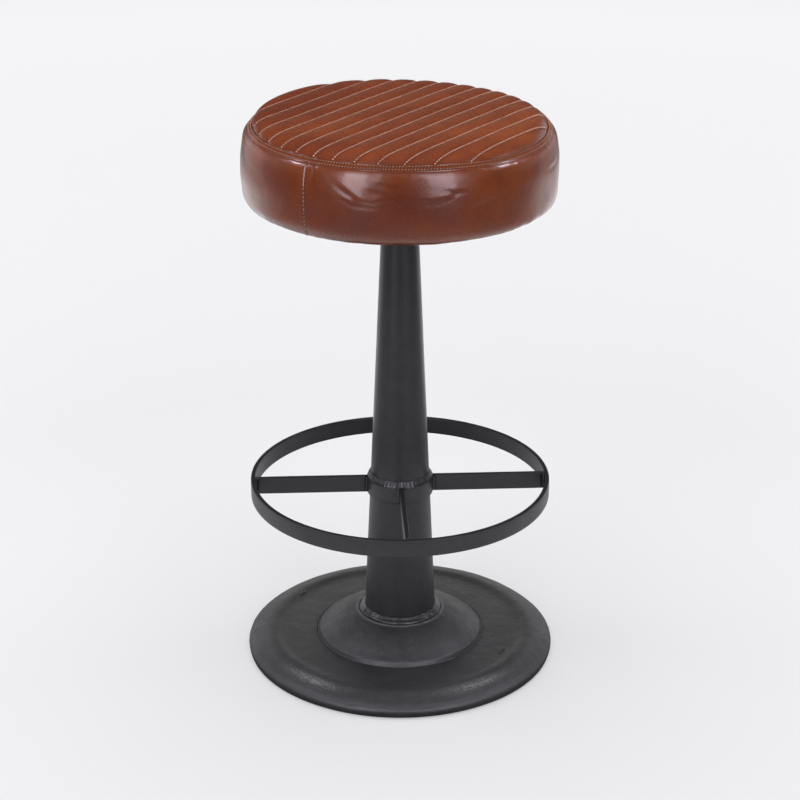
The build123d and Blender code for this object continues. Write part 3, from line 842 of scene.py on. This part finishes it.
def build_side_band():
    line = refine(BAND_LINE, 2.0 * MM, closed=False)
    count = len(line)
    sections = []
    for index, (radius, height) in enumerate(line):
        before, after = line[max(index - 1, 0)], line[min(index + 1, count - 1)]
        run = Vector((after[0] - before[0], after[1] - before[1])).normalized()
        sections.append((radius, height, run.y, -run.x))
    turns = band_turns()
    verts, faces, rub_and_light, soil_and_shade = [], [], [], []
    for turn in turns:
        seam = bell(abs(turn_gap(turn, BAND_SEAM)) * SEAT_R / MM, 0.0, 1.5)
        for radius, height, out, up in sections:
            hem = clamp((radius - (SEAT_R - 40 * MM)) / (18 * MM))
            depth = band_wrinkle(turn, height) * (hem if height < SEAT_BOTTOM + 3 * MM else 1.0)
            if height < SEAT_BOTTOM + 1.0 * MM:
                depth = min(depth, 0.3 * MM)
            rise = band_rise(height)
            level = height + up * depth - band_drop(turn, rise)
            verts.append(ring_point(radius + out * depth, turn, level))
            # Rubbed lighter on the shoulder and where the leather bulges out. Painted shade just under the
            # top seam, along the upright seam, in the creases and at the foot.
            rub_and_light.append(clamp(0.5 * bell(rise, 0.90, 0.07) + depth / MM * 0.30))
            dark = 0.30 * max(0.0, (rise - 0.93) / 0.07) ** 2 + 0.55 * seam
            dark += max(0.0, -depth / MM - 0.35) * 0.30 + 0.20 * bell(rise, 0.0, 0.06)
            soil_and_shade.append(min(1.0, dark))
        # The inner face gets full painted shade.
        for radius, height, out, up in reversed(sections):
            level = height - up * LEATHER_THICK - band_drop(turn, band_rise(height))
            verts.append(ring_point(radius - out * LEATHER_THICK, turn, level))
            rub_and_light.append(0.0)
            soil_and_shade.append(1.0)
    around = 2 * count
    for step in range(len(turns)):
        faces += bridge(step * around, (step + 1) % len(turns) * around, around)
    piece = add_leather("seat_side_leather", verts, faces, rub_and_light, soil_and_shade)
    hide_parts("seat_side_band")


def build_band_stitches():
    stitches = []
    turn = BAND_SEAM - 0.9 * MM / SEAT_R
    height = SEAT_BOTTOM + 4.0 * MM
    while height < BAND_TOP - 4.5 * MM:
        ends = []
        for level in (height, height + BAND_STITCH):
            radius = read_off(BAND_LINE, 1, level) + band_wrinkle(turn, level) + BAND_LIFT
            ends.append(ring_point(radius, turn, level))
        stitches.append((ends[0], ends[1], outward(turn)))
        height += BAND_PITCH
    add_threads("seat_band_stitches", stitches, BAND_THREAD, BROWN_THREAD)


# Foam pad inside the cover, and the cloth stapled under the board

FOAM_GAP = 0.3 * MM
FOAM_HOLE_R = 4.0 * MM


def build_foam():
    board_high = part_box("seat_board")[1]
    inner = board_high.x + FOAM_GAP
    over_board = board_high.z + FOAM_GAP
    line = [(r - 2.4 * MM, max(z, SEAT_BOTTOM + 2.4 * MM)) for r, z in BAND_LINE if r > inner + 3 * MM]
    line = [(r, z - 2.5 * MM if z > BAND_TOP - 12 * MM else z) for r, z in line]
    section = [(inner, line[0][1])] + line
    section += [
        (SEAM_R - 1 * MM, SEAT_TOP - 18.5 * MM),
        (SEAM_R * 0.9, SEAT_TOP - 14.5 * MM),
        (SEAM_R * 0.7, SEAT_TOP - 12.6 * MM),
        (FOAM_HOLE_R, SEAT_TOP - 12.4 * MM),
        (FOAM_HOLE_R, over_board),
        (inner, over_board),
    ]

    def move(index, radius, height, turn):
        at = ring_point(radius, turn, height)
        sunk = seam_drop(turn) * (radius / SEAM_R) ** 16 if height > BAND_TOP - 14 * MM else 0.0
        return radius + waves(at, (0.1, 0.02, 8.8)), height - min(sunk, 6 * MM)

    piece = add_mesh("seat_foam_pad", *lathe(refine(section, SPACING), RING_SEGMENTS, move), "seat", "foam")
    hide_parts("seat_foam")


CLOTH_THICK = 0.45 * MM
STAPLES = 28


def build_dust_cover():
    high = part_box("seat_dust_cover")[1]
    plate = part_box("seat_plate")[1].x + 2.0 * MM
    outer, top = high.x, high.z
    verts, faces = [], []
    segments, rings = 168, 22
    for thick in (0.0, CLOTH_THICK):
        for ring in range(rings + 1):
            share = ring / rings
            radius = plate + (outer - plate) * share
            for step in range(segments):
                turn = 2 * pi * step / segments
                at = ring_point(radius, turn, 0)
                tuck = cos(STAPLES * turn) * 0.25 * MM * share**3
                bag = sin(pi * min(1.0, share * 1.12)) ** 2
                sag = 1.1 * MM * bag * (0.7 + 0.5 * soft_noise(at, 0.05, 2.0))
                height = top - thick - max(0.0, sag) + min(0.0, tuck)
                verts.append(ring_point(radius, turn, height))
    sheet = (rings + 1) * segments
    for side in (0, 1):
        for ring in range(rings):
            here = side * sheet + ring * segments
            faces += bridge(here, here + segments, segments)
    for ring in (0, rings):
        faces += bridge(ring * segments, sheet + ring * segments, segments)
    piece = add_mesh("seat_dust_cover_cloth", verts, faces, "seat", "cover_cloth")
    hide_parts("seat_dust_cover")


# Footrest of rounded flat bar, with its weld beads

BAR_THICK = 5.0 * MM
BAR_EDGE = 1.0 * MM
COLUMN_TOP_R = 20.0 * MM
HUB_BEAD_R = 0.038
HUB_BEAD_SEGMENTS = 240
BEAD_SIDES = 10
BEAD_STEPS = 24
BEAD_R = 1.75 * MM
BEAD_RIPPLE = 2.6 * MM


def bar_section(left, right, low, high):
    """Upright section of the flat bar, with rounded edges."""
    return rounded([(left, low), (right, low), (right, high), (left, high)], [BAR_EDGE] * 4)


def build_hoop():
    low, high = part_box("footrest_hoop")
    section = refine(bar_section(high.x - BAR_THICK, high.x, low.z, high.z), SPACING)

    def move(index, radius, height, turn):
        at = outward(turn) * radius
        return radius + waves(at, (0.12, 0.07, 3.3)), height + waves(at, (0.10, 0.09, 6.1))

    piece = add_mesh("footrest_hoop_bar", *lathe(section, HOOP_SEGMENTS, move), "stand", "coated_black")
    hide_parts("footrest_hoop")


def build_spoke(side):
    low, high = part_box(f"footrest_spoke_{side}")
    along_x = high.x - low.x > high.y - low.y
    first, last = (low.x, high.x) if along_x else (low.y, high.y)
    section = refine(bar_section(-BAR_THICK / 2, BAR_THICK / 2, low.z, high.z), 4 * MM)
    steps = 26
    verts = []
    for step in range(steps + 1):
        place = first + (last - first) * step / steps
        for across, height in section:
            shift = waves((place, height, 0.3), (0.08, 0.03, 5.0))
            verts.append((place, across + shift, height) if along_x else (across + shift, place, height))
    faces = tube(0, steps + 1, len(section))
    piece = add_mesh(f"footrest_spoke_bar_{side}", verts, faces, "stand", "coated_black")
    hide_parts(f"footrest_spoke_{side}")


def column_radius(height):
    """Radius of the tapered column at a height."""
    low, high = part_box("column")
    share = (height - low.z) / (high.z - low.z)
    return high.x + (COLUMN_TOP_R - high.x) * share


def build_hub():
    low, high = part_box("footrest_hub")
    inner_low, inner_high = column_radius(low.z) + 0.1 * MM, column_radius(high.z) + 0.1 * MM
    corners = [(inner_low, low.z), (high.x, low.z), (high.x, high.z), (inner_high, high.z)]
    section = refine(rounded(corners, [0.3 * MM, 1.1 * MM, 1.1 * MM, 0.3 * MM]), SPACING)
    piece = add_mesh("footrest_hub_ring", *lathe(section, RING_SEGMENTS), "stand", "coated_black")
    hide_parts("footrest_hub")


def hub_bead(hub_high):
    """The lumpy fillet of weld between the hub's top and the column."""
    weld_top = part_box("footrest_welds")[1].z
    fillet = offsets(hub_high.x, hub_high.z, ((0.2, -0.6), (-0.6, 1.6), (-2.0, 3.6)))
    fillet = curve_through(fillet + [(column_radius(weld_top) + 0.2 * MM, weld_top)], 5)
    section = fillet + [
        (column_radius(weld_top) + 0.02 * MM, weld_top - 0.4 * MM),
        (column_radius(hub_high.z) + 0.3 * MM, hub_high.z - 0.6 * MM),
    ]

    def lumpy(index, radius, height, turn):
        if index >= len(fillet):
            return radius, height
        at = outward(turn) * HUB_BEAD_R
        swell = waves(at, (0.32, 0.0045, 2.4))
        swell += 0.22 * MM * sin(46 * turn + 3 * soft_noise(at, 0.02, 1.0))
        return radius + swell * 0.7, height + swell * 0.5

    return lathe(section, HUB_BEAD_SEGMENTS, lumpy)


def upright_bead(corner, run, across, low, high):
    """Points of a weld bead that stands between a spoke and a ring."""
    verts = []
    for step in range(BEAD_STEPS + 1):
        share = step / BEAD_STEPS
        level = low + 0.6 * MM + (high - low - 1.2 * MM) * share
        cap = sqrt(max(0.0, 1 - abs(2 * share - 1) ** 10))
        at = corner + Vector((0, 0, level))
        ripple = 1 + 0.10 * sin(2 * pi * level / BEAD_RIPPLE) + 0.16 * soft_noise(at, 0.004, 3.0)
        size = BEAD_R * max(0.2, cap) * ripple
        for side in range(BEAD_SIDES):
            way = 2 * pi * side / BEAD_SIDES
            verts.append(at + run * (cos(way) * size) + across * (sin(way) * size))
    return verts


def build_weld_beads():
    low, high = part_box("footrest_hub")
    hoop_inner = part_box("footrest_hoop")[1].x - BAR_THICK
    verts, faces = hub_bead(high)
    for spoke in range(4):
        turn = spoke * pi / 2
        run, across = outward(turn), sideways(turn)
        for face in (-1, 1):
            for reach, way in ((high.x, 1), (hoop_inner, -1)):
                along = sqrt(reach**2 - (3.4 * MM) ** 2) + way * 0.7 * MM
                corner = run * along + across * face * 3.1 * MM
                faces += tube(len(verts), BEAD_STEPS + 1, BEAD_SIDES)
                verts += upright_bead(corner, run, across, low.z, high.z)
    beads = add_mesh("footrest_weld_beads", verts, faces, "stand", "coated_black", WELD)
    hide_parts("footrest_welds")


# Base: rough casting with soft edges, its cast marks, and the bead round the column

# Outline from the rim inward, in mm from the base's outer edge and its underside
RIM_POINTS = (
    (-0.1, 5.6), (-0.5, 7.6), (-1.6, 9.2), (-3.6, 11), (-7.2, 13.8), (-14, 17.4), (-21.5, 20),
    (-27.5, 21.4), (-32, 21.3), (-35.5, 20.3), (-39.5, 19.2), (-45, 18.6),
)
# Outline from the plate up the dome, in mm from the axis and the underside
DOME_POINTS = (
    (126, 18.4), (110, 18.4), (99.8, 18.2), (98.2, 17.5), (96.9, 17.8), (95.9, 19.8), (94.9, 21.6),
    (93.6, 22.9), (91.4, 24.5), (86.5, 27.9), (79, 33.2), (67, 39.8), (58, 43.4), (53.6, 44.7),
    (51.6, 45.6), (50.2, 47), (48.4, 47.5), (46.8, 46.9), (45.4, 45.4),
)
COLUMN_SEAT_R = 38 * MM
BOLT_HOLE_R = 8.5 * MM
RECESS_R = 31.0 * MM
RECESS_DEEP = 24 * MM
BASE_SEGMENTS = 420


def build_base():
    low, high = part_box("base_casting")
    outer, under, top = high.x, low.z, high.z
    line = curve_through(offsets(outer, under, RIM_POINTS) + offsets(0, under, DOME_POINTS), 4)
    section = refine(offsets(outer, under, ((-1.2, 0.0), (-0.5, 2.6))) + line, 2.6 * MM, closed=False)
    outside = len(section)
    roof = under + RECESS_DEEP
    bore = [(COLUMN_SEAT_R, top), (BOLT_HOLE_R, top), (BOLT_HOLE_R, roof)]
    section += refine(bore + [(RECESS_R, roof), (RECESS_R, under)], 9 * MM, closed=False)
    section += refine([(RECESS_R + 8 * MM, under), (outer - 6 * MM, under)], 14 * MM, closed=False)

    def move(index, radius, height, turn):
        if index == 0 or index >= outside:
            return radius, height
        at = ring_point(radius, turn, height)
        lump = waves(at, (0.55, 0.055, 4.4), (0.34, 0.017, 8.1), (0.16, 0.006, 1.7))
        return min(radius + 0.35 * lump, outer), height + 0.8 * lump

    piece = add_mesh("base_cast_body", *lathe(section, BASE_SEGMENTS, move), "stand", "cast_black")
    # Painted highlight at two directions on the rim's crest, over faint wear all round the crest.
    wear_and_highlight = []
    for vertex in piece.data.vertices:
        turn = atan2(vertex.co.y, vertex.co.x)
        crest = bell(hypot(vertex.co.x, vertex.co.y) - outer, -18 * MM, 5.5 * MM)
        highlight_spots = bell(turn_gap(turn, HIGHLIGHT_LEFT), 0.0, 0.20) + 0.9 * bell(turn_gap(turn, HIGHLIGHT_RIGHT), 0.0, 0.24)
        wear_and_highlight.append(crest * (0.12 + highlight_spots) if vertex.co.z > under + 5 * MM else 0.0)
    add_attribute(piece, "wear_and_highlight", wear_and_highlight)
    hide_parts("base_casting")


# Cast marks: turn in degrees, then radius and height of the plate there in mm
CAST_MARKS = ((143.0, 144.5, 19.7), (-29.0, 132.0, 18.4))
# Rings of a mark: share of its full outline, height in mm above the plate
MARK_RINGS = ((1.0, -1.6), (1.0, 0.5), (0.92, 1.3), (0.68, 1.75), (0.3, 1.85))
MARK_SIDES = 28
MARK_END_R = 2.2 * MM
MARK_HALF_RUN = 4.4 * MM


def build_cast_marks():
    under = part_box("base_casting")[0].z
    verts, faces = [], []
    for angle, place, level in CAST_MARKS:
        turn = radians(angle)
        out, across = outward(turn), sideways(turn)
        faces += tube(len(verts), len(MARK_RINGS), MARK_SIDES)
        for scale, height in MARK_RINGS:
            for side in range(MARK_SIDES):
                way = 2 * pi * side / MARK_SIDES
                stretch = MARK_HALF_RUN * (1 if cos(way) >= 0 else -1) * min(1.0, abs(cos(way)) * 3)
                x = scale * (MARK_END_R * sin(way))
                y = stretch * (0.55 + 0.45 * scale) + scale * MARK_END_R * cos(way)
                at = out * (place * MM + x) + across * y
                rough = waves(at, (0.25, 0.004, 2.0))
                verts.append(Vector((at.x, at.y, under + (level + height) * MM + rough)))
    add_mesh("base_cast_marks", verts, faces, "stand", "cast_black")


COLUMN_BEAD_R = 0.045
COLUMN_BEAD_SEGMENTS = 360


def build_column_weld():
    """The lumpy bead round the column's foot."""
    low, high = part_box("column_weld")
    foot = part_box("column")[1].x
    line = offsets(foot, low.z, ((6.4, -0.8), (6.3, 0.8), (5.2, 2.6), (3.2, 4.2)))
    line = curve_through(line + offsets(foot, high.z, ((1.3, -0.6), (-0.2, 0.6))), 5)
    section = line + [(foot - 0.4 * MM, high.z - 0.4 * MM), (foot + 0.12 * MM, low.z - 0.8 * MM)]

    def lumpy(index, radius, height, turn):
        if index >= len(line) - 1:
            return radius, height
        at = outward(turn) * COLUMN_BEAD_R
        swell = 0.06 * MM * sin(58 * turn + 2.6 * soft_noise(at, 0.016, 1.2))
        swell += waves(at, (0.75, 0.018, 5.2), (0.45, 0.0075, 7.3))
        return radius + 0.70 * swell, height + 0.80 * swell * min(1.0, index / 6)

    verts, faces = lathe(section, COLUMN_BEAD_SEGMENTS, lumpy)
    piece = add_mesh("column_weld_bead", verts, faces, "stand", "coated_black", WELD)
    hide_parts("column_weld")


build_top_panel()
build_channel_stitches()
build_edge_strip()
build_strip_stitches()
build_side_band()
build_band_stitches()
build_foam()
build_dust_cover()
build_hoop()
for spoke_side in ("right", "back", "left", "front"):
    build_spoke(spoke_side)
build_hub()
build_weld_beads()
build_base()
build_cast_marks()
build_column_weld()


# Studio: pale floor, soft light, camera

PALE = (1.0, 1.0, 1.017)
FLOOR_HALF = 24.0


def build_floor():
    """A pale floor, with its own brightness for the camera and for reflections."""
    mesh = bpy.data.meshes.new("studio_floor")
    corners = [(x * FLOOR_HALF, y * FLOOR_HALF, 0) for x, y in ((-1, -1), (1, -1), (1, 1), (-1, 1))]
    mesh.from_pydata(corners, [], [(0, 1, 2, 3)])
    s = Shader("pale_floor")
    tone = s.two_tone(s.noise(1.5, 2, 0.5), (0.846, 0.846, 0.856), (0.852, 0.852, 0.862))
    s.tree.nodes.remove(s.surface)
    plain = s.node("ShaderNodeBsdfDiffuse")
    glow = s.node("ShaderNodeEmission")
    s.put(glow.inputs["Color"], PALE)
    far = s.result("ShaderNodeVectorMath", "Value", {0: s.place}, operation="LENGTH")
    place = s.split()
    camera, glossy = s.ray("Camera"), s.ray("Glossy")
    lit = s.math("ADD", s.fit(place["Y"], -0.4, 0.8, 0.38, 0.39), s.fit(far, 0.8, 3.2, 0.0, 0.30))
    lit = s.math("ADD", lit, s.fit(far, 3.2, 9.0, 0.0, 0.20))
    # Painted reflection: to reflections the floor's own colour goes nearly black, and a glow takes its place
    # on a ring round the stand, dark right round the base, and on the floor behind it.
    near_ring = s.math("MULTIPLY", s.fit(far, 0.20, 0.34, 0.0, 1.0), s.fit(far, 0.5, 1.65, 1.05, 0.0))
    near_ring = s.math("MULTIPLY", near_ring, s.fit(place["Y"], 0.0, 0.5, 1.0, 0.45))
    back_half = s.math("MULTIPLY", s.fit(place["Y"], -0.05, 0.75, 0.0, 1.15), s.fit(far, 1.6, 2.5, 1.0, 0.1))
    aside = s.math("ABSOLUTE", place["X"], 0.0)
    back_half = s.math("MULTIPLY", back_half, s.fit(aside, 0.20, 0.80, 0.50, 1.0))
    hold = s.math("ADD", s.math("MULTIPLY", glossy, 0.87), s.math("MULTIPLY", camera, 0.50))
    s.link(s.mix(hold, tone, (0.0, 0.0, 0.0)), plain.inputs["Color"])
    mirrored = s.math("MULTIPLY", glossy, s.math("MAXIMUM", near_ring, back_half))
    s.link(s.math("ADD", s.math("MULTIPLY", camera, lit), mirrored), glow.inputs["Strength"])
    both = s.node("ShaderNodeAddShader")
    s.link(plain.outputs["BSDF"], both.inputs[0])
    s.link(glow.outputs["Emission"], both.inputs[1])
    s.link(both.outputs["Shader"], s.tree.nodes["Material Output"].inputs["Surface"])
    mesh.materials.append(s.material)
    floor = add_object("studio_floor", mesh)


def build_world():
    """Bright low over the back at both sides, dark in front; plain and pale to the camera."""
    world = bpy.data.worlds.new("studio")
    w = Nodes(world, "Generated")
    scene.world = world
    toward = w.split()
    stops = ((0.0, 0.45), (0.06, 0.40), (0.14, 0.30), (0.26, 0.12), (0.5, 0.04), (1.0, 0.02))
    glow = w.ramp(toward["Z"], [(position, (bright, bright, bright)) for position, bright in stops])
    back = w.fit(toward["Y"], -0.25, 0.35, 0.0, 1.0, "SMOOTHSTEP")
    middle = w.fit(toward["Y"], 0.78, 0.95, 1.0, 0.18, "SMOOTHSTEP")
    level = w.math("ADD", w.math("MULTIPLY", glow, w.math("MULTIPLY", back, middle)), 0.06)
    level = w.math("MAXIMUM", level, w.math("MULTIPLY", w.ray("Camera"), 0.89))
    background = w.tree.nodes["Background"]
    w.put(background.inputs["Color"], PALE)
    w.put(background.inputs["Strength"], level)


WHITE = (1.0, 1.0, 1.0)
COOL = (0.97, 0.95, 1.08)


def add_softbox(name, place, aim, width, height, power, colour=WHITE, mirrored=True, lighting=True):
    """A lamp the camera never sees, that shows in reflections, gives light, or both."""
    lamp = bpy.data.lights.new(name, "AREA")
    lamp.shape = "RECTANGLE"
    lamp.size = width
    lamp.size_y = height
    lamp.energy = power
    lamp.color = colour
    box = add_object(name, lamp)
    box.location = place
    box.rotation_euler = (Vector(aim) - Vector(place)).to_track_quat("-Z", "Y").to_euler()
    box.visible_camera = False
    box.visible_glossy = mirrored
    box.visible_diffuse = lighting


def build_camera():
    """The camera fitted to the photo's outlines."""
    lens = bpy.data.cameras.new("photo_camera")
    lens.sensor_width = 36.0
    lens.lens = 101.0
    camera = add_object("photo_camera", lens)
    turn = radians(-2.8)
    distance, height, pitch = 2.36, 1.314, radians(22.97)
    camera.location = (distance * sin(turn), -distance * cos(turn), height)
    camera.rotation_euler = (pi / 2 - pitch, 0, turn)
    scene.camera = camera


build_floor()
build_world()
add_softbox("box_overhead", (0.0, 0.3, 3.6), (0, 0.1, 0), 3.6, 3.6, 132, mirrored=False)
add_softbox("box_side_left", (-2.6, 0.2, 1.3), (0, 0, 0.4), 1.2, 2.0, 24, mirrored=False)
add_softbox("box_side_right", (2.6, 0.2, 1.3), (0, 0, 0.4), 1.2, 2.0, 17, mirrored=False)
add_softbox("box_front_left", (-1.33, -2.10, 1.95), (0, 0, 0.6), 1.2, 2.6, 17, COOL)
add_softbox("box_front_right", (1.20, -2.18, 1.95), (0, 0, 0.6), 1.0, 2.6, 15, COOL)
add_softbox("sheen_high_left", (-2.20, 0.00, 2.08), (0, 0, 0.6), 0.28, 0.34, 11, COOL, lighting=False)
add_softbox("sheen_high_right", (2.20, 0.00, 2.08), (0, 0, 0.6), 0.28, 0.34, 11, COOL, lighting=False)
add_softbox("card_back", (0.0, 0.45, 0.155), (0, 0, 0.03), 1.0, 0.17, 0.42, lighting=False)
add_softbox("sheen_side_left", (-1.84, 1.54, 0.72), (0, 0, 0.5), 1.7, 1.4, 4, COOL, lighting=False)
add_softbox("sheen_side_right", (1.84, 1.54, 0.72), (0, 0, 0.5), 1.7, 1.4, 2.5, COOL, lighting=False)
add_softbox("sheen_front_left", (-1.36, -2.00, 1.28), (0, 0, 0.6), 0.6, 2.1, 22, COOL, lighting=False)
add_softbox("sheen_front_right", (1.15, -2.15, 1.42), (0, 0, 0.6), 0.8, 2.4, 25, COOL, lighting=False)
build_camera()
scene.view_settings.view_transform = "Standard"
